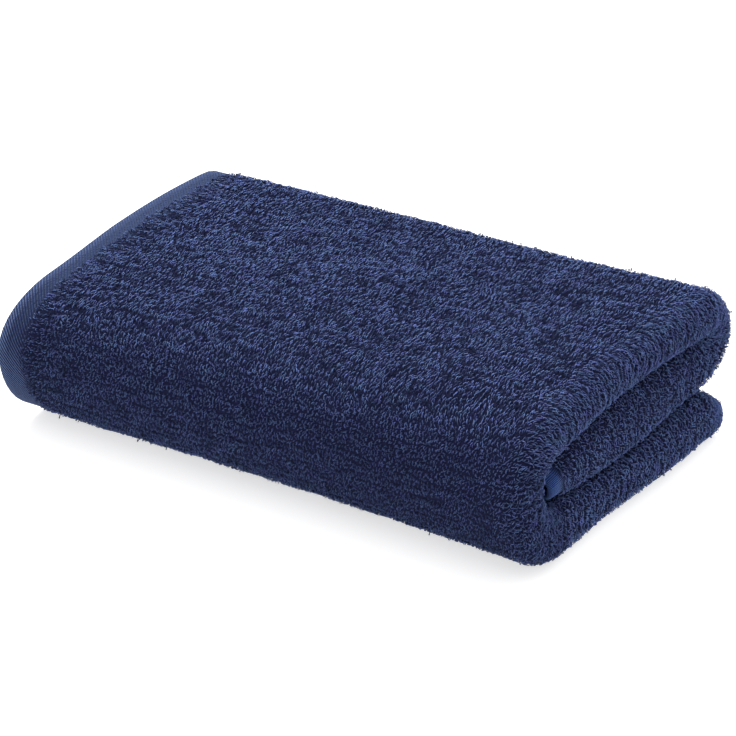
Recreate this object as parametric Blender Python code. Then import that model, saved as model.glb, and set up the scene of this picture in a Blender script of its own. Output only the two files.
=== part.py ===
"""Terry hand towel, folded: crosswise in half twice, then lengthwise in thirds like a letter.

The cloth is one sheet. Along the bundle it runs back and forth in four layers, and that section is swept
along the letter fold, from the free edge inside the front fold to the free edge below the back. Metres,
with the bundle's length along X, its front towards -Y and +Z up.
"""

import math

import bmesh
import bpy
import numpy as np

# Driving dimensions, in metres
BUNDLE_LENGTH = 0.254        # hem to crosswise fold
BUNDLE_WIDTH = 0.167         # front fold to back fold
CLOTH_THICKNESS = 0.0050     # the pile of both faces included
PANEL_THICKNESS = 0.0222     # four layers, as the section is drawn
PANEL_GAP = 0.0008           # from one panel to the next

HEM_WIDTH = 0.0125           # flat-woven band at each short end of the cloth
SIDE_BAND_WIDTH = 0.0080     # flat-woven band along each long side
BAND_THICKNESS = 0.0030
BAND_STEP = 0.0020           # the pile drops to the band over this width

INNER_HEM_SETBACK = 0.0045   # the second hem ends short of the outer one
LEFT_FOLD_SETBACK = 0.0030   # and so does the crosswise fold beside it
END_FOLD_FLATNESS = 0.90     # the crosswise folds stand out a little less than half circles

# The three panels, from the surface up: thickness at the hem end and at the crosswise fold, the share of
# it that is lost at the panel's free edge and over which width, how square the crosswise fold is on the
# panel's outer and inner face (2 is round), and how far it stands out
PANELS = {
    "bottom": {"hem_end": 0.0215, "fold_end": 0.0262, "edge_loss": 0.33, "edge_width": 0.013,
               "outer": 2.3, "inner": 4.2, "out": 0.0},
    "middle": {"hem_end": 0.0212, "fold_end": 0.0240, "edge_loss": 0.48, "edge_width": 0.022,
               "outer": 4.2, "inner": 1.8, "out": -0.0014},
    "top": {"hem_end": 0.0208, "fold_end": 0.0198, "outer": 2.2, "inner": 2.2, "out": 0.0008},
}

# The two panels that each fold along the bundle joins
FOLD_JOINS = {"back fold": ("middle", "top"), "front fold": ("top", "bottom")}

# The folds along the bundle: how far they reach in plan, the share of the stack's thickness that is
# left there, the exponents of their rounded section at the cloth's outer and inner face (2 is an
# ellipse), and their steps
FRONT_FOLD = {"reach": 0.036, "kept": 1.10, "outer": 2.15, "inner": 2.70, "steps": 11}
BACK_FOLD = {"reach": 0.021, "kept": 0.85, "outer": 2.05, "inner": 2.05, "steps": 7}
SMALLEST_REACH = 0.0008

LAYER_STEPS = 8              # between the hems and the crosswise folds, the same in all four layers
OUTER_FOLD_STEPS = 8
INNER_FOLD_STEPS = 5
PANEL_STEPS = {"middle": 5, "top": 6, "bottom": 5}
MIDDLE_EDGE_CLEARANCE = 0.004    # free edge of the middle panel to the inside of the front fold
BOTTOM_EDGE_SETBACK = 0.004      # free edge of the bottom panel, short of the back fold
MIDDLE_EDGE_LIFT = 0.25          # share of the middle panel's loss that is on its underside

# Settling of the drawn form
FRONT_DROOP = 0.0070         # the top sinks towards the front
FRONT_LEAN = 0.0040          # and is pushed out over it
FRONT_HOLLOW = 0.0026        # the front fold is drawn in past the middle of its length
BACK_SAG = 0.0014            # the top's back edge sinks past the middle of its length
HEM_WAVE = 0.0024            # the hem end runs in a slow wave, out towards the back
END_WAVE = 0.0010            # and so do the crosswise folds, each panel's a little otherwise
END_WAVE_LENGTH = 0.110
END_WAVE_RISE = 0.060
CREASE_SAG = 0.0028          # the crease between the middle and bottom panels sags at the crosswise folds

# Broad dips and swellings of the top: place from the hem and from the front, radius, depth
TOP_DENTS = [
    {"x": 0.080, "y": 0.108, "radius": 0.034, "depth": 0.0012},
    {"x": 0.190, "y": 0.102, "radius": 0.030, "depth": 0.0011},
    {"x": 0.137, "y": 0.088, "radius": 0.028, "depth": -0.0008},
    {"x": 0.200, "y": 0.045, "radius": 0.028, "depth": -0.0009},
]

FAR = 1.0                    # a distance that no band reaches

CLOTH_COLOUR = (0.030, 0.042, 0.110, 1.0)
CLOTH_ROUGHNESS = 0.95


def ease(value):
    """0 to 1 with soft ends."""
    value = np.clip(value, 0.0, 1.0)
    return value * value * (3.0 - 2.0 * value)


def spaced(start, end, steps):
    """Steps from start up to, but not with, end."""
    return [start + (end - start) * step / steps for step in range(steps)]


def band_share(distance, width):
    """1 on the flat-woven band that ends at width from the cloth's edge, 0 in the pile."""
    return np.clip((width - distance) / BAND_STEP, 0.0, 1.0)


def crosswise_fold(section, q):
    """How square the crosswise fold is on its outer and inner face, and how far it stands out, at a place
    of the letter fold."""
    first, last = (PANELS[name] for name in FOLD_JOINS.get(section, (section, section)))
    return [first[key] + (last[key] - first[key]) * q for key in ("outer", "inner", "out")]


def section_path(outer_power, inner_power, fold_out):
    """The middle line of the four layers, hem to hem: rows of x, depth below the outer face, the two
    parts of the normal, and the distance to the nearer hem."""
    half = CLOTH_THICKNESS / 2
    pitch = (PANEL_THICKNESS - CLOTH_THICKNESS) / 3
    depth = [half + layer * pitch for layer in range(4)]
    right_x = BUNDLE_LENGTH + fold_out - END_FOLD_FLATNESS * (1.5 * pitch + half)
    left_x = LEFT_FOLD_SETBACK + END_FOLD_FLATNESS * (0.5 * pitch + half)
    rows = []

    def add_layer(places, at_depth, normal):
        for x, from_hem in places:
            rows.append((x, at_depth, 0.0, normal, from_hem))

    def add_fold(centre_x, side, start, end, steps, powers=(2.0, 2.0)):
        radius = abs(end - start) / 2
        turn = math.copysign(1.0, end - start)
        for angle in spaced(0.0, math.pi, steps):
            out, level = math.sin(angle), math.cos(angle)
            half_turn = math.copysign(1.0, level)
            power = powers[0] if level > 0.0 else powers[1]
            x = centre_x + side * END_FOLD_FLATNESS * radius * out ** (2.0 / power)
            at_depth = (start + end) / 2 - turn * radius * half_turn * abs(level) ** (2.0 / power)
            normal_x = turn * out ** (2.0 - 2.0 / power)
            normal_depth = -side * half_turn * abs(level) ** (2.0 - 2.0 / power)
            length = math.hypot(normal_x, normal_depth)
            rows.append((x, at_depth, normal_x / length, normal_depth / length, FAR))

    hem_x = INNER_HEM_SETBACK + HEM_WIDTH
    band_end = HEM_WIDTH - BAND_STEP
    add_layer([(0.0, 0.0), (band_end, band_end), (HEM_WIDTH, FAR)], depth[0], -1.0)
    add_layer([(x, FAR) for x in spaced(hem_x, right_x, LAYER_STEPS)], depth[0], -1.0)
    add_fold(right_x, 1, depth[0], depth[3], OUTER_FOLD_STEPS, (outer_power, inner_power))
    add_layer([(x, FAR) for x in spaced(right_x, hem_x, LAYER_STEPS) + [hem_x]], depth[3], 1.0)
    add_fold(left_x, -1, depth[3], depth[2], INNER_FOLD_STEPS)
    add_layer([(left_x, FAR)] + [(x, FAR) for x in spaced(hem_x, right_x, LAYER_STEPS)], depth[2], -1.0)
    add_fold(right_x, 1, depth[2], depth[1], INNER_FOLD_STEPS)
    add_layer([(x, FAR) for x in spaced(right_x, hem_x, LAYER_STEPS) + [hem_x]], depth[1], 1.0)
    add_layer([(INNER_HEM_SETBACK + band_end, band_end), (INNER_HEM_SETBACK, 0.0)], depth[1], 1.0)
    return np.array(rows)


def letter_stations():
    """Stations along the letter fold: section, place in it from 0 to 1, distance to the side edge."""
    band = [0.0, SIDE_BAND_WIDTH - BAND_STEP, SIDE_BAND_WIDTH]
    flat = BUNDLE_WIDTH - FRONT_FOLD["reach"] - BACK_FOLD["reach"]
    edge = SIDE_BAND_WIDTH / flat
    stations = [("middle", d / flat, d) for d in band]
    stations += [("middle", q, FAR) for q in spaced(edge, 1.0, PANEL_STEPS["middle"])[1:]]
    stations += [("back fold", q, FAR) for q in spaced(0.0, 1.0, BACK_FOLD["steps"])]
    stations += [("top", q, FAR) for q in spaced(0.0, 1.0, PANEL_STEPS["top"])]
    stations += [("front fold", q, FAR) for q in spaced(0.0, 1.0, FRONT_FOLD["steps"])]
    stations += [("bottom", q, FAR) for q in spaced(0.0, 1.0 - edge, PANEL_STEPS["bottom"])]
    stations += [("bottom", 1.0 - d / flat, d) for d in reversed(band)]
    return stations


def rounded(fold, angle, share):
    """Sideways and upright parts of a fold's rounded section at an angle from level."""
    level, rise = math.cos(angle), math.sin(angle)
    power = 2.0 / (fold["outer"] + (fold["inner"] - fold["outer"]) * share)
    return abs(level) ** power, math.copysign(1.0, rise) * abs(rise) ** power


def place(section, q, x, depth):
    """y and z of points of the section, at their x and depth, where it passes a station."""
    share = depth / PANEL_THICKNESS
    along = np.clip(x / BUNDLE_LENGTH, 0.0, 1.0)
    thick = {name: row["hem_end"] + (row["fold_end"] - row["hem_end"]) * along
             for name, row in PANELS.items()}
    bottom = share * thick["bottom"]
    middle = thick["bottom"] + PANEL_GAP + share * thick["middle"]
    top = thick["bottom"] + thick["middle"] + 2 * PANEL_GAP + (1.0 - share) * thick["top"]
    front_y = FRONT_FOLD["reach"]
    back_y = BUNDLE_WIDTH - BACK_FOLD["reach"]
    if section == "top":
        return back_y + (front_y - back_y) * q + 0.0 * x, top
    if section == "middle":
        edge_y = front_y - fold_reach(FRONT_FOLD, PANEL_THICKNESS) + MIDDLE_EDGE_CLEARANCE
        y = edge_y + (back_y - edge_y) * q
        lost = thick["middle"] * edge_loss("middle", y - edge_y)
        return y + 0.0 * x, middle + lost * (MIDDLE_EDGE_LIFT - share)
    if section == "bottom":
        edge_y = BUNDLE_WIDTH - BOTTOM_EDGE_SETBACK
        y = front_y + (edge_y - front_y) * q
        return y + 0.0 * x, bottom * (1.0 - edge_loss("bottom", edge_y - y))
    if section == "back fold":
        out, rise = rounded(BACK_FOLD, math.pi * (q - 0.5), share)
        return back_y + out * fold_reach(BACK_FOLD, depth), (top + middle) / 2 + rise * (top - middle) / 2
    out, rise = rounded(FRONT_FOLD, math.pi * (0.5 - q), share)
    return front_y - out * fold_reach(FRONT_FOLD, depth), (top + bottom) / 2 + rise * (top - bottom) / 2


def edge_loss(panel, distance):
    """Share of its thickness that a panel loses at this distance from its free edge."""
    return PANELS[panel]["edge_loss"] * (1.0 - ease(distance / PANELS[panel]["edge_width"]))


def fold_reach(fold, depth):
    """How far a layer at this depth reaches out in a fold along the bundle."""
    return np.maximum(fold["reach"] - fold["kept"] * depth, SMALLEST_REACH)


def settle(x, y, z):
    """The bundle as it lies: sunk and hollowed where it is soft, flat where it touches the surface."""
    height = sum(row["fold_end"] for row in PANELS.values())
    along = np.clip(x / BUNDLE_LENGTH, 0.0, 1.0)
    across = y / BUNDLE_WIDTH
    front = 1.0 - ease(2.0 * across)
    back = ease(2.0 * across - 1.0)
    upper = ease((z / height - 0.25) / 0.75)
    middle_length = np.sin(math.pi * along ** 1.25)
    past_middle = np.exp(-((along - 0.68) / 0.22) ** 2)
    near_crease = np.sin(math.pi * np.clip(z / (2.0 * PANELS["bottom"]["fold_end"]), 0.0, 1.0))

    end_phase = 2.0 * math.pi * (y / END_WAVE_LENGTH + z / END_WAVE_RISE)
    new_x = x + HEM_WAVE * np.sin(2.0 * math.pi * across) * (1.0 - along) ** 2
    new_x = new_x + END_WAVE * np.sin(end_phase) * along ** 6
    new_y = y - FRONT_LEAN * front * upper + FRONT_HOLLOW * front * middle_length
    new_z = z - upper * (FRONT_DROOP * front + BACK_SAG * back * past_middle)
    new_z = new_z - CREASE_SAG * near_crease * along * np.sin(math.pi * np.clip(across, 0.0, 1.0))
    for dent in TOP_DENTS:
        away = ((x - dent["x"]) ** 2 + (y - dent["y"]) ** 2) / dent["radius"] ** 2
        new_z = new_z - dent["depth"] * upper * np.exp(-away)
    return new_x, new_y, np.maximum(new_z, 0.0)


def towel_points():
    """Rings of points round the cloth's section, one for each station of the letter fold: first its
    outer side, hem to hem, then its inner side back again."""
    rings = []
    for section, q, from_side in letter_stations():
        path = section_path(*crosswise_fold(section, q))
        banded = np.maximum(band_share(path[:, 4], HEM_WIDTH), band_share(from_side, SIDE_BAND_WIDTH))
        half = (CLOTH_THICKNESS + (BAND_THICKNESS - CLOTH_THICKNESS) * banded) / 2
        sides = []
        for sign in (1.0, -1.0):
            x = path[:, 0] + sign * half * path[:, 2] * END_FOLD_FLATNESS
            depth = path[:, 1] + sign * half * path[:, 3]
            y, z = place(section, q, x, depth)
            sides.append(np.stack(settle(x, y, z), axis=1))
        rings.append(np.concatenate([sides[0], sides[1][::-1]]))
    return rings


def build_towel():
    rings = towel_points()
    count = len(rings[0])
    low = np.min([ring.min(axis=0) for ring in rings], axis=0)
    high = np.max([ring.max(axis=0) for ring in rings], axis=0)
    centre = np.array([(low[0] + high[0]) / 2, (low[1] + high[1]) / 2, 0.0])
    cloth = bmesh.new()
    grid = [[cloth.verts.new(point - centre) for point in ring] for ring in rings]
    for near, far in zip(grid, grid[1:]):
        for i in range(count):
            j = (i + 1) % count
            cloth.faces.new((near[i], near[j], far[j], far[i]))
    for ring in (grid[0], grid[-1]):
        for i in range(count // 2 - 1):
            cloth.faces.new((ring[i], ring[i + 1], ring[count - 2 - i], ring[count - 1 - i]))
    bmesh.ops.recalc_face_normals(cloth, faces=cloth.faces)
    mesh = bpy.data.meshes.new("towel")
    cloth.to_mesh(mesh)
    cloth.free()
    mesh.shade_smooth()
    towel = bpy.data.objects.new("towel", mesh)
    bpy.context.scene.collection.objects.link(towel)
    return towel


def cloth_material():
    material = bpy.data.materials.new("navy terry")
    material.use_nodes = True
    shader = material.node_tree.nodes["Principled BSDF"]
    shader.inputs["Base Color"].default_value = CLOTH_COLOUR
    shader.inputs["Roughness"].default_value = CLOTH_ROUGHNESS
    shader.inputs["Metallic"].default_value = 0.0
    return material


def main():
    for item in list(bpy.data.objects):
        bpy.data.objects.remove(item, do_unlink=True)
    towel = build_towel()
    towel.data.materials.append(cloth_material())


main()
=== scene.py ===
# Folded terry hand towel: the cloth as one thin sheet on its folds, and the loops of its pile on it.
# Metres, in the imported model's frame: +X from hem to crosswise fold, -Y to the long front fold, +Z up.
import math

import bpy
import numpy as np
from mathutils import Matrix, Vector, noise


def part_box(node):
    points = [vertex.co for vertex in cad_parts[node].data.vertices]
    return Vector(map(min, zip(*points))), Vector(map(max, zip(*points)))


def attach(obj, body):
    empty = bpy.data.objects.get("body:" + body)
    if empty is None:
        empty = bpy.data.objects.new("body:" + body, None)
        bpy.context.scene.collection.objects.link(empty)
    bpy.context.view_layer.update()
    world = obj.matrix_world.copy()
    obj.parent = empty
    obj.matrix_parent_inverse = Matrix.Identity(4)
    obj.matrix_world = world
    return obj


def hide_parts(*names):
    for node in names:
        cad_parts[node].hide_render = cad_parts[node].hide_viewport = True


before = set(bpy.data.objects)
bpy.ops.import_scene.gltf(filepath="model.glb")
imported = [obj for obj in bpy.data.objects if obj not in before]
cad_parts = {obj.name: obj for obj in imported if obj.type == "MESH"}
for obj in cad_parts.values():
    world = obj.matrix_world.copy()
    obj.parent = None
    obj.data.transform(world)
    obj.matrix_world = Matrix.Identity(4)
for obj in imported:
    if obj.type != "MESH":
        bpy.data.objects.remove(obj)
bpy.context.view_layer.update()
bpy.ops.object.select_all(action="DESELECT")
print("frame loaded")


# The folded form: the bundle's measures, and the rules that lead from the flat cloth to its folds
bundle = {
    "length": 0.254,                # hem to crosswise fold
    "width": 0.167,                 # front fold to back fold
    "clothThickness": 0.0050,       # with the pile of both faces
    "panelThickness": 0.0222,       # four layers
    "panelGap": 0.0008,
    "hemWidth": 0.0125,
    "sideBandWidth": 0.0080,
    "innerHemSetback": 0.0045,
    "leftFoldSetback": 0.0030,
    "endFoldFlatness": 0.90,
    "middleEdgeClearance": 0.004,
    "bottomEdgeSetback": 0.004,
    "middleEdgeLift": 0.25,
    "leastReach": 0.0008,           # of a long fold, at its innermost turn
}

# Each panel's thickness at both ends, the share of it that is lost at the free edge and over which
# width, how square the crosswise fold is on the panel's outer and inner face (2 is round), and how far
# it stands out
panels = {
    "bottom": {"hemEnd": 0.0215, "foldEnd": 0.0262, "edgeLoss": 0.33, "edgeWidth": 0.013,
               "outer": 2.3, "inner": 4.2, "out": 0.0},
    "middle": {"hemEnd": 0.0212, "foldEnd": 0.0240, "edgeLoss": 0.48, "edgeWidth": 0.022,
               "outer": 4.2, "inner": 1.8, "out": -0.0014},
    "top": {"hemEnd": 0.0208, "foldEnd": 0.0198, "outer": 2.2, "inner": 2.2, "out": 0.0008},
}
foldJoins = {"back fold": ("middle", "top"), "front fold": ("top", "bottom")}

# Each long fold's reach in plan, what it loses of that with the depth, and how square it is on its outer
# and inner face
letterFolds = {
    "front fold": {"reach": 0.036, "loss": 1.10, "outer": 2.15, "inner": 2.70},
    "back fold": {"reach": 0.021, "loss": 0.85, "outer": 2.05, "inner": 2.05},
}

# How the bundle settles where it is soft
settling = {
    "firmShare": 0.25,              # of the height, from the floor up, that doesn't droop or lean
    "frontDroop": 0.0070,
    "frontLean": 0.0040,
    "frontHollow": 0.0026,
    "frontHollowSkew": 1.25,        # over 1 it is deepest nearer to the crosswise fold
    "backSag": 0.0014,
    "backSagPlace": 0.68,           # its deepest place and its width, as shares of the length
    "backSagWidth": 0.22,
    "hemWave": 0.0024,
    "hemWaveFade": 2,               # the higher, the closer the wave stays to its end
    "endWave": 0.0010,
    "endWaveFade": 6,
    "endWaveLength": 0.110,
    "endWaveRise": 0.060,
    "creaseSag": 0.0028,
}

# Dips and swellings of the top: place from the hem and from the front, radius, how much longer they are
# along the bundle, depth
dents = [
    {"x": 0.080, "y": 0.108, "radius": 0.034, "stretch": 1.0, "depth": 0.0012},
    {"x": 0.190, "y": 0.102, "radius": 0.030, "stretch": 1.0, "depth": 0.0011},
    {"x": 0.137, "y": 0.088, "radius": 0.028, "stretch": 1.0, "depth": -0.0008},
    {"x": 0.200, "y": 0.045, "radius": 0.028, "stretch": 1.0, "depth": -0.0009},
    {"x": 0.048, "y": 0.101, "radius": 0.017, "stretch": 1.0, "depth": 0.0010},
    {"x": 0.100, "y": 0.106, "radius": 0.012, "stretch": 1.6, "depth": 0.0010},
    {"x": 0.159, "y": 0.070, "radius": 0.012, "stretch": 1.9, "depth": 0.0009},
    {"x": 0.197, "y": 0.112, "radius": 0.011, "stretch": 1.5, "depth": 0.0013},
    {"x": 0.240, "y": 0.090, "radius": 0.010, "stretch": 1.4, "depth": 0.0013},
    {"x": 0.064, "y": 0.063, "radius": 0.016, "stretch": 1.0, "depth": -0.0008},
    {"x": 0.139, "y": 0.096, "radius": 0.010, "stretch": 1.8, "depth": -0.0009},
    {"x": 0.232, "y": 0.116, "radius": 0.006, "stretch": 3.4, "depth": -0.0012},
    {"x": 0.221, "y": 0.124, "radius": 0.0045, "stretch": 1.8, "depth": 0.0012},
    {"x": 0.242, "y": 0.101, "radius": 0.0045, "stretch": 1.5, "depth": 0.0011},
    {"x": 0.198, "y": 0.040, "radius": 0.018, "stretch": 1.0, "depth": -0.0008},
]


tiny = 1e-9                         # instead of 0, where something is divided by it


def ease(value):
    value = np.clip(value, 0.0, 1.0)
    return value * value * (3.0 - 2.0 * value)


def between(first, last, share):
    return first + (last - first) * share


# The crosswise fold's squareness and how far it stands out, at a place of the letter fold
def crosswiseFold(place):
    section, q = place["section"], place["q"]
    first, last = (panels[name] for name in foldJoins.get(section, (section, section)))
    return {key: between(first[key], last[key], q) for key in ("outer", "inner", "out")}


# The middle line of the cloth through its four layers, hem to hem, at a place of the letter fold. Each
# point has its x, its depth below the bundle's outer face, the direction of the cloth's outer side, and
# the layer or fold that it is in. The end fold goes round three layers' pitches, the others round one.
def sectionLine(step, place):
    half = bundle["clothThickness"] / 2
    pitch = (bundle["panelThickness"] - bundle["clothThickness"]) / 3
    depths = [half + layer * pitch for layer in range(4)]
    flatness = bundle["endFoldFlatness"]
    fewestPoints = 6                # in a fold, however small it is
    shape = crosswiseFold(place)
    rightX = bundle["length"] + shape["out"] - flatness * (1.5 * pitch + half)
    leftX = bundle["leftFoldSetback"] + flatness * (0.5 * pitch + half)
    points = []

    def layer(name, startX, endX, depth, outDepth):
        count = round(bundle["length"] / step)
        for i in range(count):
            points.append((startX + (endX - startX) * i / count, depth, 0.0, outDepth, name))

    def fold(name, centreX, side, start, end, powers=(2.0, 2.0)):
        radius = abs(end - start) / 2
        turn = math.copysign(1.0, end - start)
        count = max(fewestPoints, round(math.pi * (radius + half) / step))
        for i in range(count):
            angle = math.pi * i / count
            out, level = math.sin(angle), math.cos(angle)
            halfTurn = math.copysign(1.0, level)
            power = powers[0] if level > 0.0 else powers[1]
            x = centreX + side * flatness * radius * out ** (2.0 / power)
            depth = (start + end) / 2 - turn * radius * halfTurn * abs(level) ** (2.0 / power)
            outX = turn * out ** (2.0 - 2.0 / power)
            outDepth = -side * halfTurn * abs(level) ** (2.0 - 2.0 / power)
            length = math.hypot(outX, outDepth)
            points.append((x, depth, outX / length, outDepth / length, name))

    layer("first", 0.0, rightX, depths[0], -1.0)
    fold("end fold", rightX, 1, depths[0], depths[3], (shape["outer"], shape["inner"]))
    layer("fourth", rightX, leftX, depths[3], 1.0)
    fold("hem-end fold", leftX, -1, depths[3], depths[2])
    layer("third", leftX, rightX, depths[2], -1.0)
    fold("inner fold", rightX, 1, depths[2], depths[1])
    layer("second", rightX, bundle["innerHemSetback"], depths[1], 1.0)
    points.append((bundle["innerHemSetback"], depths[1], 0.0, 1.0, "second"))
    x, depth, outX, outDepth = np.array([point[:4] for point in points]).T
    faceX = x + half * outX * flatness
    faceDepth = depth + half * outDepth
    run = np.concatenate([[0.0], np.cumsum(np.hypot(np.diff(faceX), np.diff(faceDepth)))])
    return {"x": x, "depth": depth, "outX": outX, "outDepth": outDepth, "run": run,
            "part": np.array([point[4] for point in points])}


# The share of a panel's thickness that is lost at a distance from its free edge
def edgeLoss(panel, distance):
    return panels[panel]["edgeLoss"] * (1.0 - ease(distance / panels[panel]["edgeWidth"]))


# How far a long fold reaches out in plan, at a depth below its outer face
def foldReach(fold, depth):
    reach = letterFolds[fold]["reach"] - letterFolds[fold]["loss"] * depth
    return np.maximum(reach, bundle["leastReach"])


# Sideways and upright parts of a long fold's rounded section, at an angle from level
def rounded(fold, angle, share):
    shape = letterFolds[fold]
    level, rise = math.cos(angle), math.sin(angle)
    power = 2.0 / between(shape["outer"], shape["inner"], share)
    return np.abs(level) ** power, math.copysign(1.0, rise) * np.abs(rise) ** power


# y and z of points of the section, where it passes a place q (0 to 1) of a panel or long fold
def letterPlace(section, q, x, depth):
    share = depth / bundle["panelThickness"]
    along = np.clip(x / bundle["length"], 0.0, 1.0)
    thick = {}
    for name, panel in panels.items():
        thick[name] = between(panel["hemEnd"], panel["foldEnd"], along)
    gap = bundle["panelGap"]
    bottom = share * thick["bottom"]
    middle = thick["bottom"] + gap + share * thick["middle"]
    top = thick["bottom"] + thick["middle"] + 2 * gap + (1.0 - share) * thick["top"]
    frontY = letterFolds["front fold"]["reach"]
    backY = bundle["width"] - letterFolds["back fold"]["reach"]
    if section == "top":
        return np.full(len(x), between(backY, frontY, q)), top
    if section == "middle":
        edgeY = frontY - foldReach("front fold", bundle["panelThickness"])
        edgeY = edgeY + bundle["middleEdgeClearance"]
        y = between(edgeY, backY, q)
        lost = thick["middle"] * edgeLoss("middle", y - edgeY)
        return np.full(len(x), y), middle + lost * (bundle["middleEdgeLift"] - share)
    if section == "bottom":
        edgeY = bundle["width"] - bundle["bottomEdgeSetback"]
        y = between(frontY, edgeY, q)
        return np.full(len(x), y), bottom * (1.0 - edgeLoss("bottom", edgeY - y))
    if section == "back fold":
        out, rise = rounded(section, math.pi * (q - 0.5), share)
        return backY + out * foldReach(section, depth), (top + middle) / 2 + rise * (top - middle) / 2
    out, rise = rounded(section, math.pi * (0.5 - q), share)
    return frontY - out * foldReach(section, depth), (top + bottom) / 2 + rise * (top - bottom) / 2


# Points of the bundle as it lies, from where its folds alone would put them
def settled(x, y, z):
    height = sum(panel["foldEnd"] for panel in panels.values())
    along = np.clip(x / bundle["length"], 0.0, 1.0)
    across = y / bundle["width"]
    front = 1.0 - ease(2.0 * across)
    back = ease(2.0 * across - 1.0)
    upper = ease((z / height - settling["firmShare"]) / (1.0 - settling["firmShare"]))
    middleLength = np.sin(math.pi * along ** settling["frontHollowSkew"])
    middleWidth = np.sin(math.pi * np.clip(across, 0.0, 1.0))
    pastMiddle = np.exp(-((along - settling["backSagPlace"]) / settling["backSagWidth"]) ** 2)
    nearCrease = np.sin(math.pi * np.clip(z / (2.0 * panels["bottom"]["foldEnd"]), 0.0, 1.0))
    hemPhase = 2.0 * math.pi * across
    endPhase = 2.0 * math.pi * (y / settling["endWaveLength"] + z / settling["endWaveRise"])
    newX = x + settling["hemWave"] * np.sin(hemPhase) * (1.0 - along) ** settling["hemWaveFade"]
    newX = newX + settling["endWave"] * np.sin(endPhase) * along ** settling["endWaveFade"]
    newY = y - settling["frontLean"] * front * upper + settling["frontHollow"] * front * middleLength
    newZ = z - upper * (settling["frontDroop"] * front + settling["backSag"] * back * pastMiddle)
    newZ = newZ - settling["creaseSag"] * nearCrease * along * middleWidth
    for dent in dents:
        away = (((x - dent["x"]) / dent["stretch"]) ** 2 + (y - dent["y"]) ** 2) / dent["radius"] ** 2
        newZ = newZ - dent["depth"] * upper * np.exp(-away)
    return np.stack([newX, newY, np.maximum(newZ, 0.0)], axis=-1)


# Points at a height above the cloth's middle line, on its outer side, at one place of the letter fold
def clothFace(place, line, offset):
    x = line["x"] + offset * line["outX"] * bundle["endFoldFlatness"]
    depth = line["depth"] + offset * line["outDepth"]
    y, z = letterPlace(place["section"], place["q"], x, depth)
    return settled(x, y, z) + shift


# Places along the letter fold, evenly spaced on the outer face, from the free edge inside the front fold
# to the one below the back. Each has its distance t from the first, and the width of the whole cloth.
def letterPlaces(step):
    samples = 90                    # of each section, to measure the way along it
    places = []
    middleX = np.array([bundle["length"] / 2])
    for section in ("middle", "back fold", "top", "front fold", "bottom"):
        for q in np.linspace(0.0, 1.0, samples):
            y, z = letterPlace(section, q, middleX, 0.0 * middleX)
            places.append((section, q, settled(middleX, y, z)[0]))
    spans = [np.linalg.norm(b[2] - a[2]) for a, b in zip(places, places[1:])]
    t = np.concatenate([[0.0], np.cumsum(spans)])
    count = round(t[-1] / step)
    found = []
    for wanted in np.linspace(0.0, t[-1], count + 1):
        i = int(np.clip(np.searchsorted(t, wanted) - 1, 0, len(places) - 2))
        if places[i][0] != places[i + 1][0]:
            i += 1
        share = (wanted - t[i]) / max(t[i + 1] - t[i], tiny)
        q = between(places[i][1], places[i + 1][1], min(max(share, 0.0), 1.0))
        found.append({"section": places[i][0], "q": q, "t": wanted, "width": t[-1]})
    return found


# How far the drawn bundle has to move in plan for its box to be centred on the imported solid's
def findShift():
    step = 0.004
    half = bundle["clothThickness"] / 2
    places = letterPlaces(step)
    points = np.concatenate([clothFace(place, sectionLine(step, place), half) for place in places])
    low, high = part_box("towel")
    centre = (points.min(axis=0) + points.max(axis=0)) / 2
    return np.array([(low.x + high.x) / 2 - centre[0], (low.y + high.y) / 2 - centre[1], 0.0])


shift = np.zeros(3)                 # nothing moves while findShift measures
shift = findShift()


# A mesh object from arrays of points, of faces with so many sides each, and of values at the points
def newMeshObject(name, points, faces, sides, uvName, uvs, attributes):
    mesh = bpy.data.meshes.new(name)
    mesh.vertices.add(len(points))
    mesh.vertices.foreach_set("co", points.astype(np.float32).ravel())
    mesh.loops.add(faces.size)
    mesh.loops.foreach_set("vertex_index", faces.astype(np.int32).ravel())
    mesh.polygons.add(len(faces))
    mesh.polygons.foreach_set("loop_start", np.arange(0, faces.size, sides, dtype=np.int32))
    layer = mesh.uv_layers.new(name=uvName)
    layer.data.foreach_set("uv", uvs.astype(np.float32).ravel())
    for key, values in attributes.items():
        attribute = mesh.attributes.new(key, "FLOAT", "POINT")
        attribute.data.foreach_set("value", values.astype(np.float32))
    mesh.update(calc_edges=True)
    mesh.validate()
    mesh.shade_smooth()
    piece = bpy.data.objects.new(name, mesh)
    bpy.context.scene.collection.objects.link(piece)
    return piece


# The woven cloth under the pile
ground = {
    "step": 0.0050,                 # from point to point of its mesh
    "thickness": 0.0022,
    "hemThickness": 0.0028,
    "sideBandThickness": 0.0025,
    "bandStep": 0.0020,             # over which a band ends
    "flatWidth": 0.50,
    "flatLength": 1.00,
}


# 1 on a band along an edge of the cloth, 0 beyond it
def bandMask(distance, width):
    return np.clip((width - distance) / ground["bandStep"], 0.0, 1.0)


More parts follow.
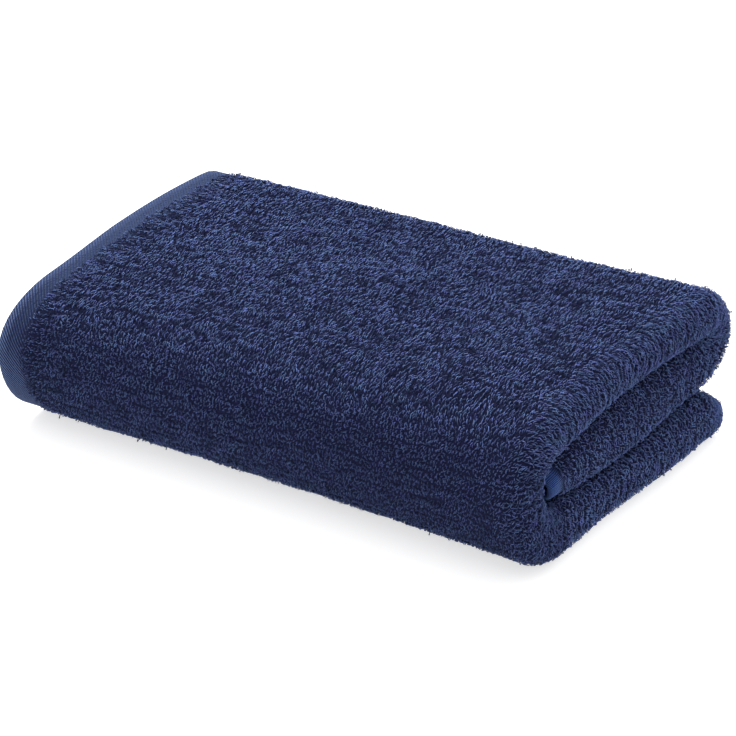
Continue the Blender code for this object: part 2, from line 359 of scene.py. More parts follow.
def makeCloth():
    places = letterPlaces(ground["step"])
    rings, hemMask, sideMask, clothUv = [], [], [], []
    for place in places:
        line = sectionLine(ground["step"], place)
        count = len(line["x"])
        fromHem = np.minimum(line["run"], line["run"][-1] - line["run"])
        hem = bandMask(fromHem, bundle["hemWidth"])
        side = bandMask(min(place["t"], place["width"] - place["t"]), bundle["sideBandWidth"])
        thickness = between(ground["thickness"], ground["sideBandThickness"], side)
        thickness = between(thickness, ground["hemThickness"], hem)
        outer = clothFace(place, line, thickness / 2)
        inner = clothFace(place, line, -thickness / 2)
        rings.append(np.concatenate([outer, inner[::-1]]))
        along = np.concatenate([line["run"], line["run"][::-1]])
        clothUv.append(np.stack([along, np.full(2 * count, place["t"])], axis=1))
        hemMask.append(np.concatenate([hem, hem[::-1]]))
        sideMask.append(np.full(2 * count, side))
    ring = np.arange(2 * count)
    after = np.roll(ring, -1)
    strips = []
    for i in range(len(places) - 1):
        near, far = i * 2 * count, (i + 1) * 2 * count
        strips.append(np.stack([near + ring, far + ring, far + after, near + after], axis=1))
    step = np.arange(count - 1)
    for start, flip in ((0, 1), ((len(places) - 1) * 2 * count, -1)):
        cap = np.stack([step, step + 1, 2 * count - 2 - step, 2 * count - 1 - step], axis=1) + start
        strips.append(cap[:, ::flip])
    faces = np.concatenate(strips)
    uvs = np.concatenate(clothUv)[faces.ravel()]
    masks = {"hemBand": np.concatenate(hemMask), "sideBand": np.concatenate(sideMask)}
    cloth = newMeshObject("towel-cloth", np.concatenate(rings), faces, 4, "cloth", uvs, masks)
    woven = np.maximum(masks["hemBand"], masks["sideBand"])[faces].max(axis=1) > 0.0
    cloth.data.polygons.foreach_set("material_index", woven.astype(np.int32))
    return cloth


towelCloth = makeCloth()
print("cloth:", len(towelCloth.data.polygons), "faces")


# The pile: loops of yarn in rows across the cloth. A loop lies along the weft, from foot to foot. Some
# are pressed lower, and are painted darker as the shade between the others.
pile = {
    "seed": 11,
    "rowPitch": 0.00135,            # from a row to the next, across the cloth
    "loopPitch": 0.00110,           # along a row
    "jitter": 0.00055,              # of a loop's place, along the row and along the weft
    "length": 0.0021,               # foot to foot
    "lengthRange": (0.70, 1.25),
    "crest": 0.00130,               # its yarn's middle, above the cloth
    "crestRange": (0.75, 1.25),
    "sink": 0.0005,                 # its feet, below the cloth's face
    "flatness": 0.35,               # of the arch: the less, the flatter its crest
    "lean": 0.0004,                 # of the arch along the weft, and how much a clump adds to it
    "clumpLean": 0.0005,
    "yarnRadius": 0.00023,
    "radiusRange": (0.88, 1.12),
    "lowShare": 0.35,               # of the loops are pressed lower,
    "lowGather": 2.2,               # more of them in short gaps along the rows
    "lowHeight": 0.55,              # as a share of the crest
    "clumpHeight": 0.45,            # how unlike in height clumps and broader swellings are
    "swellingHeight": 0.15,
    "clumpSlide": 0.0011,           # how far clumps are shoved along the weft
    "turn": 0.32,                   # how much the direction drifts from place to place
    "standing": 0.015,              # share of loops that stand up
    "standingRange": (1.3, 2.1),    # and how high, and how short in plan
    "standingLength": 0.55,
    "floorClearance": 0.0002,
    "lineStep": 0.0005,             # from point to point of the line that a row follows
}

# Patches of loops that lie alike: their size along and across the rows, and the noise's seed
patches = {
    "gap": {"length": 0.0120, "width": 0.0015, "seed": 23.0},
    "clump": {"length": 0.0110, "width": 0.0028, "seed": 0.0},
    "slide": {"length": 0.0110, "width": 0.0028, "seed": 17.0},
    "turn": {"length": 0.0120, "width": 0.0080, "seed": 9.0},
    "swelling": {"length": 0.0300, "width": 0.0180, "seed": 5.0},
}

# What makes a loop lighter or darker than the others: its own lightness at random, and painted light
# and shade, lighter on higher clumps and swellings, darker on loops pressed low and in gaps
unevenAndPaintedShade = {"loop": 0.38, "swelling": 0.08, "clump": 0.16, "low": 0.32, "gap": 0.28}

# How the loops lie and look by place: their length, the standing share, their turn from the weft, also
# beside the hem, its spread, how far they reach over the hem, how light they are, with painted shade by
# side (the front fold darkest), and how uneven, how light the painted shade on their flanks leaves them,
# how much calmer the pile looks away from the hem end, and, on the crosswise fold, how light they are
# with painted shade and how many stand
lie = {
    "top": {
        "length": 1.00, "standing": 1.0, "yaw": 0.06, "hemYaw": 1.1, "spread": 0.16, "overHem": 0.0034,
        "toneAndShade": 0.605, "contrast": 1.17, "paintedFlankLight": 0.0, "calm": 0.0, "endToneAndShade": 0.46, "endStanding": 1.5,
    },
    "front fold": {
        "length": 0.55, "standing": 1.0, "yaw": 0.0, "hemYaw": 2.0, "spread": 0.50, "overHem": 0.0006,
        "toneAndShade": 0.40, "contrast": 0.16, "paintedFlankLight": 0.42, "calm": 0.24, "endToneAndShade": 0.33, "endStanding": 1.0,
    },
    "back fold": {
        "length": 0.95, "standing": 6.0, "yaw": 0.10, "hemYaw": 0.9, "spread": 0.24, "overHem": 0.0020,
        "toneAndShade": 0.50, "contrast": 0.60, "paintedFlankLight": 0.10, "calm": 0.0, "endToneAndShade": 0.51, "endStanding": 9.0,
    },
    "middle": {
        "length": 0.85, "standing": 3.0, "yaw": 0.0, "hemYaw": 0.9, "spread": 0.40, "overHem": 0.0006,
        "toneAndShade": 0.48, "contrast": 0.40, "paintedFlankLight": 0.25, "calm": 0.0, "endToneAndShade": 0.49, "endStanding": 2.0,
    },
    "bottom": {
        "length": 0.85, "standing": 3.0, "yaw": 0.0, "hemYaw": 0.9, "spread": 0.40, "overHem": 0.0006,
        "toneAndShade": 0.52, "contrast": 0.40, "paintedFlankLight": 0.25, "calm": 0.0, "endToneAndShade": 0.54, "endStanding": 5.0,
    },
}

# Where the lie changes: from the top into the long folds, on the crosswise fold, beside the hem, and
# where the pile calms down
lieChanges = {
    "frontFoldStart": 0.03,         # shares of the fold, from the top on
    "frontFoldSpan": 0.34,
    "backFoldStart": 0.50,          # shares of the fold, from the middle panel on
    "backFoldSpan": 0.50,
    "endStart": 0.016,              # before the crosswise fold's end
    "endSpan": 0.014,
    "endLength": 0.85,
    "endYaw": 1.3,
    "endSpread": 0.25,
    "endContrast": 0.26,
    "endPaintedFlankLight": 0.44,
    "hemSpan": 0.014,               # from the hem on
    "hemShorter": 0.3,
    "hemSpread": 0.30,
    "calmStart": 0.080,             # from the hem end
    "calmSpan": 0.100,
    # calm also darkens the loops towards the crosswise fold, as painted shade
    "calmPaintedShade": 0.5,                # what calm takes from the tone, and as a share from the contrast
    "calmContrast": 2.0,
}

# How far the loops go: where the cloth turns in and is hidden, and beside the hem and side bands
pileEnds = {
    "foldInside": 0.0105,           # the crosswise fold, from its end to where its layers begin
    "hemFoldInside": 0.0060,        # the fold at the hem end
    "fourthLayer": {                # further in from there, on the cloth's fourth layer
        "top": 0.012, "front fold": 0.026, "back fold": 0.006, "middle": 0.012, "bottom": 0.010,
    },
    "hemEndLayers": {"fourth": 0.004, "third": 0.002},      # the same at the hem end
    "hiddenPanel": 0.010,           # the same on the first layer, where a panel lies inside or below
    "rimIn": 0.014,                 # below the bundle, in from its front rim
    "overSideBand": 0.0010,
    "bareEdge": 0.0015,             # at the bottom panel's free edge
    "hemWaver": 0.0016,             # of the edge beside the hem
    "hemWaves": [
        {"length": 0.003, "seed": 3.0, "share": 1.0},
        {"length": 0.012, "seed": 8.0, "share": 1.4},
    ],
}


# The lie at a place of the letter fold, led over from the top into both long folds
def lieAt(place):
    section, q = place["section"], place["q"]
    first, last, share = lie[section], lie[section], 0.0
    if section == "front fold":
        first, share = lie["top"], ease((q - lieChanges["frontFoldStart"]) / lieChanges["frontFoldSpan"])
    if section == "back fold":
        last, share = lie["top"], ease((q - lieChanges["backFoldStart"]) / lieChanges["backFoldSpan"])
    return {key: between(first[key], last[key], share) for key in first}


# Where the loops begin beside the hem, at a place of the letter fold
def hemEdge(place):
    waver = 0.0
    for wave in pileEnds["hemWaves"]:
        spot = Vector((place["t"] / wave["length"], 0.0, wave["seed"]))
        waver += wave["share"] * noise.noise(spot)
    return bundle["hemWidth"] - lieAt(place)["overHem"] + pileEnds["hemWaver"] * waver


# Which loops can be seen, once the towel is folded
def pileShown(place, line):
    part, x, section = line["part"], line["x"], place["section"]
    rightX = bundle["length"] - pileEnds["foldInside"]
    leftX = bundle["leftFoldSetback"] + pileEnds["hemFoldInside"]
    fromSide = min(place["t"], place["width"] - place["t"])
    outside = section in ("top", "front fold", "back fold")
    if section == "bottom":
        fromFront = place["q"] * (bundle["width"] - letterFolds["front fold"]["reach"])
        outside = fromFront < pileEnds["rimIn"]
    shown = (part == "end fold") | (part == "hem-end fold")
    shown |= (part == "fourth") & (x > rightX - pileEnds["fourthLayer"][section])
    for layer, deep in pileEnds["hemEndLayers"].items():
        shown |= (part == layer) & (x < leftX + deep)
    firstFrom = hemEdge(place) if outside else rightX - pileEnds["hiddenPanel"]
    shown |= (part == "first") & (x > firstFrom)
    if fromSide < bundle["sideBandWidth"] - pileEnds["overSideBand"]:
        looped = section == "bottom" and fromSide > pileEnds["bareEdge"]
        shown &= (x > bundle["length"] / 2) & looped
    return shown


# The piece that each loop of a row belongs to
def pieceOf(place, line):
    part, section = line["part"], place["section"]
    hemHalf = line["x"] < bundle["length"] / 2
    if section in ("top", "front fold"):
        side = "pile-" + section.split()[0]
        names = np.where(hemHalf, side + "-hem-half", side + "-fold-half")
    else:
        names = np.full(len(part), "pile-back" if section == "back fold" else "pile-rim")
    names = names.astype("<U24")    # with room for the longest name
    atEnd = (part == "end fold") | (part == "fourth") & ~hemHalf
    names[atEnd] = "pile-end-lower" if section in ("middle", "bottom") else "pile-end-upper"
    atHem = (part == "hem-end fold") | (part == "third") | (part == "fourth") & hemHalf
    names[atHem] = "pile-hem-end"
    return names


def unit(vectors):
    return vectors / np.maximum(np.linalg.norm(vectors, axis=-1, keepdims=True), tiny)


# The points of a section's line at given distances along it
def takeLine(dense, run):
    measures = ("x", "depth", "outX", "outDepth")
    line = {key: np.interp(run, dense["run"], dense[key]) for key in measures}
    index = np.clip(np.searchsorted(dense["run"], run), 0, len(dense["run"]) - 1)
    line["part"] = dense["part"][index]
    line["run"] = run
    return line


# How strongly each loop belongs to a kind of patch, from about -1 to 1
def patchValues(name, sown):
    long, wide, seed = patches[name]["length"], patches[name]["width"], patches[name]["seed"]
    spots = zip(sown["s"], sown["t"])
    return np.array([noise.noise(Vector((s / long, t / wide, seed))) for s, t in spots])


# Every loop's place, frame and lie, row after row of the cloth. Its distance s is from the hem, and its
# distance t from the side, along the cloth.
def sowPile():
    rng = np.random.default_rng(pile["seed"])
    rows = letterPlaces(pile["rowPitch"])
    near = 0.0004                   # to the point beside a loop that gives the warp's direction
    found = []
    for number, place in enumerate(rows[:-1]):
        nextPlace = rows[number + 1]
        dense = sectionLine(pile["lineStep"], place)
        start = pile["loopPitch"] / 2 if number % 2 else 0.0
        run = np.arange(start, dense["run"][-1], pile["loopPitch"])
        run = run + rng.uniform(-pile["jitter"], pile["jitter"], len(run))
        line = takeLine(dense, np.clip(run, 0.0, dense["run"][-1]))
        keep = pileShown(place, line)
        if not keep.any():
            continue
        line = {key: values[keep] for key, values in line.items()}
        beside = takeLine(dense, line["run"] + near)
        low = clothFace(place, line, ground["thickness"] / 2)
        high = clothFace(place, line, bundle["clothThickness"] / 2)
        up = unit(high - low)
        weft = clothFace(nextPlace, line, ground["thickness"] / 2) - low
        weft = unit(weft - up * (weft * up).sum(axis=1, keepdims=True))
        warp = unit(clothFace(place, beside, ground["thickness"] / 2) - low)
        manner = lieAt(place)
        atEnd = ease((line["x"] - bundle["length"] + lieChanges["endStart"]) / lieChanges["endSpan"])
        atHem = 1.0 - ease((line["x"] - bundle["hemWidth"]) / lieChanges["hemSpan"])
        atHem = atHem * (line["part"] == "first")
        calm = manner["calm"] * ease((line["x"] - lieChanges["calmStart"]) / lieChanges["calmSpan"])
        length = manner["length"] * (1.0 - lieChanges["hemShorter"] * atHem)
        standing = between(manner["standing"], manner["endStanding"], atEnd)
        spread = manner["spread"] + lieChanges["endSpread"] * atEnd
        # calm darkens the loops as painted shade
        toneAndShade = manner["toneAndShade"] - lieChanges["calmPaintedShade"] * calm
        contrast = manner["contrast"] * (1.0 - lieChanges["calmContrast"] * calm)
        found.append({
            "base": low,
            "up": up,
            "weft": weft,
            "warp": warp,
            "s": line["run"],
            "t": np.full(len(low), place["t"]),
            "length": between(length, lieChanges["endLength"], atEnd),
            "standing": pile["standing"] * standing,
            "yaw": manner["yaw"] + lieChanges["endYaw"] * atEnd + manner["hemYaw"] * atHem,
            "spread": spread + lieChanges["hemSpread"] * atHem,
            "toneAndShade": between(toneAndShade, manner["endToneAndShade"], atEnd),
            "contrast": between(contrast, lieChanges["endContrast"], atEnd),
            "paintedFlankLight": between(manner["paintedFlankLight"] + calm, lieChanges["endPaintedFlankLight"], atEnd),
            "name": pieceOf(place, line),
        })
    return {key: np.concatenate([row[key] for row in found]) for key in found[0]}


# One loop: a closed three-sided tube from foot to foot, up, along and down again
loopRings = [0.23, 0.77]            # where the tube has its corners, as shares of its length
loopSides = 3


# The faces of one loop's points, and their places on the yarn: along it and round it
def loopFaces():
    rings, sides = len(loopRings), loopSides
    faces, uvs = [], []
    lastPoint = 1 + rings * sides
    for side in range(sides):
        after = (side + 1) % sides
        v, w = side / sides, (side + 1) / sides
        faces.append((0, 1 + after, 1 + side))
        uvs.append(((0.0, (v + w) / 2), (loopRings[0], w), (loopRings[0], v)))
        for ring in range(rings - 1):
            a, b = 1 + ring * sides, 1 + (ring + 1) * sides
            u, x = loopRings[ring], loopRings[ring + 1]
            faces.append((a + side, a + after, b + after))
            uvs.append(((u, v), (u, w), (x, w)))
            faces.append((a + side, b + after, b + side))
            uvs.append(((u, v), (x, w), (x, v)))
        last = 1 + (rings - 1) * sides
        faces.append((last + side, last + after, lastPoint))
        uvs.append(((loopRings[-1], v), (loopRings[-1], w), (1.0, (v + w) / 2)))
    return np.array(faces), np.array(uvs)


# The points of all loops, the lightness of each loop with its painted shade, and each point's painted
# light and shade, from the dark feet to the lit ridge
def makeLoops(sown, rng):
    count = len(sown["s"])
    patch = {name: patchValues(name, sown) for name in patches}
    low = rng.random(count) < pile["lowShare"] + pile["lowGather"] * patch["gap"]
    swell = 1.0 + pile["clumpHeight"] * patch["clump"] + pile["swellingHeight"] * patch["swelling"]
    height = pile["crest"] * swell * rng.uniform(*pile["crestRange"], count)
    height = height * np.where(low, pile["lowHeight"], 1.0)
    length = pile["length"] * sown["length"] * rng.uniform(*pile["lengthRange"], count)
    radius = pile["yarnRadius"] * rng.uniform(*pile["radiusRange"], count)
    yaw = sown["yaw"] + sown["spread"] * rng.standard_normal(count) + pile["turn"] * patch["turn"]
    standing = rng.random(count) < sown["standing"]
    height = np.where(standing, height * rng.uniform(*pile["standingRange"], count), height)
    length = np.where(standing, length * pile["standingLength"], length)
    # Random lightness, with painted light on higher clumps and swellings and painted shade on low loops
    # and in gaps
    uneven = unevenAndPaintedShade["loop"] * rng.standard_normal(count)
    uneven = uneven + unevenAndPaintedShade["swelling"] * patch["swelling"] + unevenAndPaintedShade["clump"] * patch["clump"]
    uneven = uneven - unevenAndPaintedShade["low"] * low - unevenAndPaintedShade["gap"] * patch["gap"]
    toneAndShade = np.clip(sown["toneAndShade"] + sown["contrast"] * uneven, 0.0, 1.0)
    lean = pile["lean"] + pile["clumpLean"] * patch["slide"]
    along = np.cos(yaw)[:, None] * -sown["weft"] + np.sin(yaw)[:, None] * sown["warp"]
    shove = rng.uniform(-pile["jitter"], pile["jitter"], count) + pile["clumpSlide"] * patch["slide"]
    base = sown["base"] + sown["weft"] * shove[:, None]

    def middle(share):
        angle = math.pi * share
        out = length * (share - 0.5) + lean * math.sin(angle)
        rise = (height + pile["sink"]) * math.sin(angle) ** pile["flatness"] - pile["sink"]
        return base + along * out[:, None] + sown["up"] * rise[:, None]

    near = 0.01                     # to the places on both sides that give the yarn's direction
    points = [middle(0.0)]
    for share in loopRings:
        tangent = unit(middle(share + near) - middle(share - near))
        across = unit(np.cross(tangent, sown["up"]))
        ridge = np.cross(across, tangent)
        for side in range(loopSides):
            angle = 2.0 * math.pi * side / loopSides
            ray = ridge * math.cos(angle) + across * math.sin(angle)
            points.append(middle(share) + ray * radius[:, None])
    points.append(middle(1.0))
    points = np.stack(points, axis=1)
    points[:, :, 2] = np.maximum(points[:, :, 2], pile["floorClearance"])
    # Painted light and shade of each point: dark at the feet, light on the ridge, the flanks between
    foot, ridge, paintedFlankLight = np.zeros(count), np.ones(count), sown["paintedFlankLight"]
    rise = np.stack([foot] + [ridge, paintedFlankLight, paintedFlankLight] * len(loopRings) + [foot], axis=1)
    return points, toneAndShade, rise


def makePile():
    sown = sowPile()
    rng = np.random.default_rng(pile["seed"] + 1)
    points, toneAndShade, rise = makeLoops(sown, rng)
    template, templateUv = loopFaces()
    made = []
    for name in sorted(set(sown["name"])):
        chosen = points[sown["name"] == name]
        count, each = chosen.shape[:2]
        faces = (template[None] + each * np.arange(count)[:, None, None]).reshape(-1, 3)
        uvs = np.broadcast_to(templateUv[None], (count, *templateUv.shape))
        attributes = {
            "toneAndShade": np.repeat(toneAndShade[sown["name"] == name], each),
            "rise": rise[sown["name"] == name].ravel(),
        }
        made.append(newMeshObject(name, chosen.reshape(-1, 3), faces, 3, "yarn", uvs, attributes))
        print("  ", name, count, "loops,", len(faces), "triangles")
    return made


pilePieces = makePile()
print("pile:", sum(len(piece.data.polygons) for piece in pilePieces), "triangles")


# Colours and materials
finish = {
    # between yarnDeep and yarnLight: the loops' lightness, painted shade at the deep end, lit crests at
    # the light end
    "yarnDeep": (0.0060, 0.0095, 0.0430, 1.0),
    "yarnLight": (0.2550, 0.3650, 0.8400, 1.0),
    # painted shade on the loops' feet and flanks, and how narrow a lit ridge it leaves
    "paintedFlankShade": (0.0050, 0.0080, 0.0330, 1.0),
    "paintedRidgePower": 1.4,              # the more, the narrower a yarn's lit ridge
    # painted shade: the cloth under the loops as dark as the shade between them
    "ground": (0.0080, 0.0100, 0.0370, 1.0),
    "band": (0.0075, 0.0145, 0.0610, 1.0),
    "sideBand": (0.0420, 0.0980, 0.3600, 1.0),
    "bandGroove": (0.0030, 0.0055, 0.0200, 1.0),
    "roughness": 0.88,
    "specular": 0.10,
    "yarnSheen": 0.08,
    "groundSheen": 0.0,
    "bandSheen": 0.39,
    "sheenRoughness": 0.45,
    "sheenTint": (0.36, 0.52, 1.0, 1.0),
    "yarnDye": {"scale": 260.0, "amount": 0.6, "drift": 0.08},
    "clothDye": {"scale": 320.0, "amount": 0.5, "drift": 0.04},
    "dyeDetail": 3.0,
    "twistTurns": 3.0,              # of the plies, from foot to foot
    "twistPitch": 0.5,              # of a turn: the yarn has two plies
    "twistBump": {"strength": 0.5, "distance": 0.0002},
    "hemRib": 0.0012,               # from line to line of the hem's twill
    "hemSlant": (0.775, -0.632),    # the direction across the twill's lines, along and across the cloth
    "sideRib": 0.0011,              # from line to line across a side band
    "ribWaver": 0.25,
    "slubScale": 900.0,             # of the uneven threads in the cloth
    "weaveBump": {"strength": 0.9, "distance": 0.0005},
}


# An empty shader node group, and the nodes of its inputs and outputs
def newGroup(name, inputs, outputs):
    group = bpy.data.node_groups.new(name, "ShaderNodeTree")
    for label, kind in inputs:
        group.interface.new_socket(name=label, in_out="INPUT", socket_type=kind)
    for label, kind in outputs:
        group.interface.new_socket(name=label, in_out="OUTPUT", socket_type=kind)
    return group, group.nodes.new("NodeGroupInput"), group.nodes.new("NodeGroupOutput")


def mathNode(tree, operation, first, second=None):
    node = tree.nodes.new("ShaderNodeMath")
    node.operation = operation
    for slot, value in enumerate((first, second)):
        if isinstance(value, float):
            node.inputs[slot].default_value = value
        elif value is not None:
            tree.links.new(value, node.inputs[slot])
    return node.outputs[0]


# A mix of two colours. Among the node's sockets, 0 is the factor, 6 and 7 are the colours, and 2 is the
# mixed colour.
def mixColour(tree, factor, first, second):
    node = tree.nodes.new("ShaderNodeMix")
    node.data_type = "RGBA"
    for slot, value in ((0, factor), (6, first), (7, second)):
        if isinstance(value, tuple):
            node.inputs[slot].default_value = value
        else:
            tree.links.new(value, node.inputs[slot])
    return node.outputs[2]


# Uneven dyeing: the colour drifts a little from place to place, in value and in hue
def makeDyeGroup():
    group, given, result = newGroup(
        "uneven dye",
        [("Colour", "NodeSocketColor"), ("Scale", "NodeSocketFloat"), ("Amount", "NodeSocketFloat"),
         ("Drift", "NodeSocketFloat")],
        [("Colour", "NodeSocketColor")],
    )
    place = group.nodes.new("ShaderNodeTexCoord")
    cloud = group.nodes.new("ShaderNodeTexNoise")
    cloud.inputs["Detail"].default_value = finish["dyeDetail"]
    group.links.new(place.outputs["Object"], cloud.inputs["Vector"])
    group.links.new(given.outputs["Scale"], cloud.inputs["Scale"])
    drift = mathNode(group, "SUBTRACT", cloud.outputs["Fac"], 0.5)
    drift = mathNode(group, "MULTIPLY", drift, given.outputs["Amount"])
    value = mathNode(group, "ADD", drift, 1.0)
    tint = group.nodes.new("ShaderNodeHueSaturation")
    group.links.new(given.outputs["Colour"], tint.inputs["Color"])
    group.links.new(value, tint.inputs["Value"])
    clouds = group.nodes.new("ShaderNodeSeparateXYZ")
    group.links.new(cloud.outputs["Color"], clouds.inputs[0])
    hue = mathNode(group, "SUBTRACT", clouds.outputs[1], 0.5)
    hue = mathNode(group, "MULTIPLY", hue, given.outputs["Drift"])
    group.links.new(mathNode(group, "ADD", hue, 0.5), tint.inputs["Hue"])
    group.links.new(tint.outputs["Color"], result.inputs["Colour"])
    return group


# Lines of a woven band or the plies of a yarn: a wave from 0 to 1, once in every pitch of the place
def makeRibGroup():
    group, given, result = newGroup(
        "ribs",
        [("Place", "NodeSocketFloat"), ("Pitch", "NodeSocketFloat"), ("Waver", "NodeSocketFloat")],
        [("Height", "NodeSocketFloat")],
    )
    turns = mathNode(group, "DIVIDE", given.outputs["Place"], given.outputs["Pitch"])
    turns = mathNode(group, "ADD", turns, given.outputs["Waver"])
    wave = mathNode(group, "SINE", mathNode(group, "MULTIPLY", turns, 2.0 * math.pi))
    height = mathNode(group, "ADD", mathNode(group, "MULTIPLY", wave, 0.5), 0.5)
    group.links.new(height, result.inputs["Height"])
    return group


dyeGroup = makeDyeGroup()
ribGroup = makeRibGroup()


# A group placed in a material, each input with a value or a link
def useGroup(tree, group, **values):
    node = tree.nodes.new("ShaderNodeGroup")
    node.node_tree = group
    for label, value in values.items():
        socket = node.inputs[label.capitalize()]
        if isinstance(value, (float, tuple)):
            socket.default_value = value
        else:
            tree.links.new(value, socket)
    return node.outputs[0]


def newMaterial(name, sheen):
    material = bpy.data.materials.new(name)
    material.use_nodes = True
    tree = material.node_tree
    shader = tree.nodes["Principled BSDF"]
    shader.inputs["Roughness"].default_value = finish["roughness"]
    shader.inputs["Specular IOR Level"].default_value = finish["specular"]
    shader.inputs["Sheen Weight"].default_value = sheen
    shader.inputs["Sheen Roughness"].default_value = finish["sheenRoughness"]
    shader.inputs["Sheen Tint"].default_value = finish["sheenTint"]
    return material, tree, shader


def attributeValue(tree, name):
    node = tree.nodes.new("ShaderNodeAttribute")
    node.attribute_name = name
    return node.outputs["Fac"]


def uvParts(tree, name):
    node = tree.nodes.new("ShaderNodeUVMap")
    node.uv_map = name
    parts = tree.nodes.new("ShaderNodeSeparateXYZ")
    tree.links.new(node.outputs["UV"], parts.inputs[0])
    return parts.outputs[0], parts.outputs[1]


def addBump(tree, shader, height, strength, distance):
    bump = tree.nodes.new("ShaderNodeBump")
    bump.inputs["Strength"].default_value = strength
    bump.inputs["Distance"].default_value = distance
    tree.links.new(height, bump.inputs["Height"])
    tree.links.new(bump.outputs["Normal"], shader.inputs["Normal"])


# The loops' yarn: lighter and darker loops, partly painted shade, painted shade on flanks and feet,
# uneven dye, and the twist of its plies
def makeYarnMaterial():
    material, tree, shader = newMaterial("navy loop yarn", finish["yarnSheen"])
    toneAndShade = attributeValue(tree, "toneAndShade")
    # painted shade: the yarn darkens from its lit ridge to its flanks and feet
    rise = mathNode(tree, "POWER", attributeValue(tree, "rise"), finish["paintedRidgePower"])
    colour = mixColour(tree, toneAndShade, finish["yarnDeep"], finish["yarnLight"])
    colour = mixColour(tree, rise, finish["paintedFlankShade"], colour)
    colour = useGroup(tree, dyeGroup, colour=colour, **finish["yarnDye"])
    tree.links.new(colour, shader.inputs["Base Color"])
    along, around = uvParts(tree, "yarn")
    turns = mathNode(tree, "ADD", mathNode(tree, "MULTIPLY", along, finish["twistTurns"]), around)
    twist = useGroup(tree, ribGroup, place=turns, pitch=finish["twistPitch"], waver=0.0)
    addBump(tree, shader, twist, **finish["twistBump"])
    return material


# The woven cloth: the ground under the loops dark as painted shade, twill lines on the hems, lines
# across the side bands
def makeClothMaterial(name, sheen):
    material, tree, shader = newMaterial(name, sheen)
    hem = attributeValue(tree, "hemBand")
    side = attributeValue(tree, "sideBand")
    along, across = uvParts(tree, "cloth")
    place = tree.nodes.new("ShaderNodeTexCoord")
    cloud = tree.nodes.new("ShaderNodeTexNoise")
    cloud.inputs["Scale"].default_value = finish["slubScale"]
    tree.links.new(place.outputs["Object"], cloud.inputs["Vector"])
    waver = mathNode(tree, "MULTIPLY", cloud.outputs["Fac"], finish["ribWaver"])
    slantAlong = mathNode(tree, "MULTIPLY", along, finish["hemSlant"][0])
    slantAcross = mathNode(tree, "MULTIPLY", across, finish["hemSlant"][1])
    slant = mathNode(tree, "ADD", slantAlong, slantAcross)
    hemRib = useGroup(tree, ribGroup, place=slant, pitch=finish["hemRib"], waver=waver)
    sideRib = useGroup(tree, ribGroup, place=along, pitch=finish["sideRib"], waver=waver)
    hemRib = mathNode(tree, "MULTIPLY", hemRib, hem)
    sideRib = mathNode(tree, "MULTIPLY", sideRib, side)
    rib = mathNode(tree, "MAXIMUM", hemRib, sideRib)
    band = mathNode(tree, "MAXIMUM", hem, side)
    bandColour = mixColour(tree, side, finish["band"], finish["sideBand"])
    bandColour = mixColour(tree, rib, finish["bandGroove"], bandColour)
    colour = mixColour(tree, band, finish["ground"], bandColour)
    colour = useGroup(tree, dyeGroup, colour=colour, **finish["clothDye"])
    tree.links.new(colour, shader.inputs["Base Color"])
    height = mathNode(tree, "ADD", rib, cloud.outputs["Fac"])
    addBump(tree, shader, height, **finish["weaveBump"])
    return material


yarnMaterial = makeYarnMaterial()
towelCloth.data.materials.append(makeClothMaterial("navy terry ground in painted shade", finish["groundSheen"]))
towelCloth.data.materials.append(makeClothMaterial("navy woven band", finish["bandSheen"]))
for piece in pilePieces:
    piece.data.materials.append(yarnMaterial)
print("materials made")


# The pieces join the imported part's frame
for piece in [towelCloth, *pilePieces]:
    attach(piece, "root")
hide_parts("towel")


# Floor, light and camera
stage = {
    "floorSize": 12.0,
    "floorColour": (0.55, 0.55, 0.55, 1.0),
    "floorRoughness": 0.9,
    "floorGlow": 0.65,
    "horizonStrength": 0.30,
    "overheadStrength": 1.50,
    "keyPlace": (-1.0, 0.9, 2.0),
    "keySize": 1.6,
    "keyPower": 60.0,
}

camera = {
    "azimuth": 34.02,               # degrees round from -Y towards +X
    "elevation": 26.28,
    "distance": 1.414,
    "target": (0.0, 0.0, 0.030),
    "aimRight": 0.00153,
    "aimUp": -0.00062,
    "lens": 167.4,
    "sensor": 36.0,
}


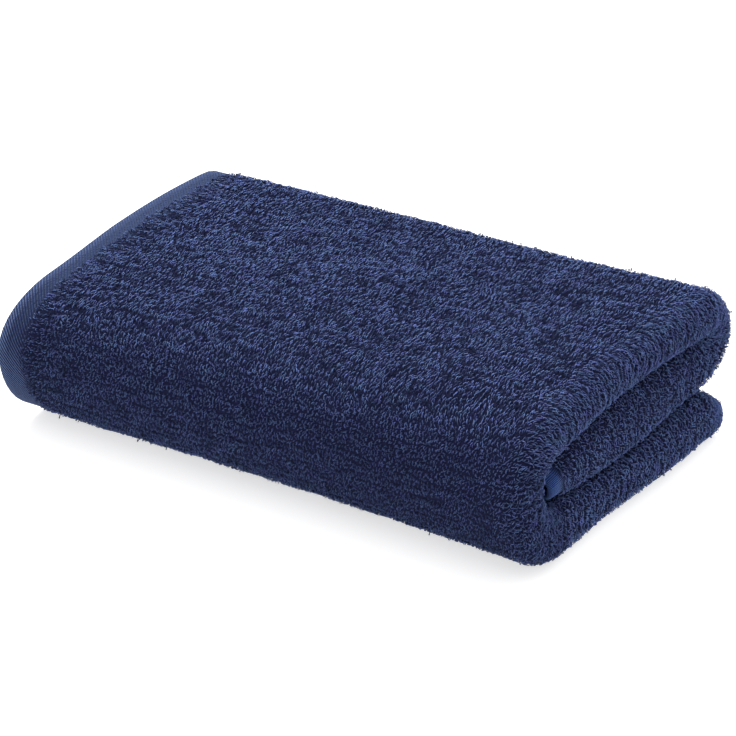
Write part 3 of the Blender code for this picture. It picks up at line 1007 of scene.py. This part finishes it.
def makeFloor():
    bpy.ops.mesh.primitive_plane_add(size=stage["floorSize"], location=(0.0, 0.0, 0.0))
    floor = bpy.context.object
    floor.name = "floor"
    material = bpy.data.materials.new("pale floor")
    material.use_nodes = True
    shader = material.node_tree.nodes["Principled BSDF"]
    shader.inputs["Base Color"].default_value = stage["floorColour"]
    shader.inputs["Roughness"].default_value = stage["floorRoughness"]
    shader.inputs["Emission Color"].default_value = (1.0, 1.0, 1.0, 1.0)
    shader.inputs["Emission Strength"].default_value = stage["floorGlow"]
    floor.data.materials.append(material)


# A room that is bright overhead and dimmer at the sides, with one soft lamp high at the back left
def makeLight():
    world = bpy.data.worlds.new("soft room")
    world.use_nodes = True
    tree = world.node_tree
    direction = tree.nodes.new("ShaderNodeTexCoord")
    parts = tree.nodes.new("ShaderNodeSeparateXYZ")
    tree.links.new(direction.outputs["Generated"], parts.inputs[0])
    height = mathNode(tree, "MAXIMUM", parts.outputs[2], 0.0)
    overhead = mathNode(tree, "MULTIPLY", height, stage["overheadStrength"])
    strength = mathNode(tree, "ADD", overhead, stage["horizonStrength"])
    tree.nodes["Background"].inputs["Color"].default_value = (1.0, 1.0, 1.0, 1.0)
    tree.links.new(strength, tree.nodes["Background"].inputs["Strength"])
    bpy.context.scene.world = world
    bpy.ops.object.light_add(type="AREA", location=stage["keyPlace"])
    key = bpy.context.object
    key.name = "key light"
    key.data.size = stage["keySize"]
    key.data.energy = stage["keyPower"]
    key.rotation_euler = (-Vector(stage["keyPlace"])).to_track_quat("-Z", "Y").to_euler()


# The camera at the photograph's angle. aimRight and aimUp move its aim within the view.
def makeCamera():
    a, e = math.radians(camera["azimuth"]), math.radians(camera["elevation"])
    back = Vector((math.sin(a) * math.cos(e), -math.cos(a) * math.cos(e), math.sin(e)))
    right = Vector((math.cos(a), math.sin(a), 0.0))
    aim = Vector(camera["target"]) + right * camera["aimRight"] + back.cross(right) * camera["aimUp"]
    bpy.ops.object.camera_add(location=aim + back * camera["distance"])
    view = bpy.context.object
    view.rotation_euler = back.to_track_quat("Z", "Y").to_euler()
    view.data.lens = camera["lens"]
    view.data.sensor_width = camera["sensor"]
    bpy.context.scene.camera = view


makeFloor()
makeLight()
makeCamera()
bpy.context.scene.view_settings.view_transform = "Standard"
print("floor, light and camera made")
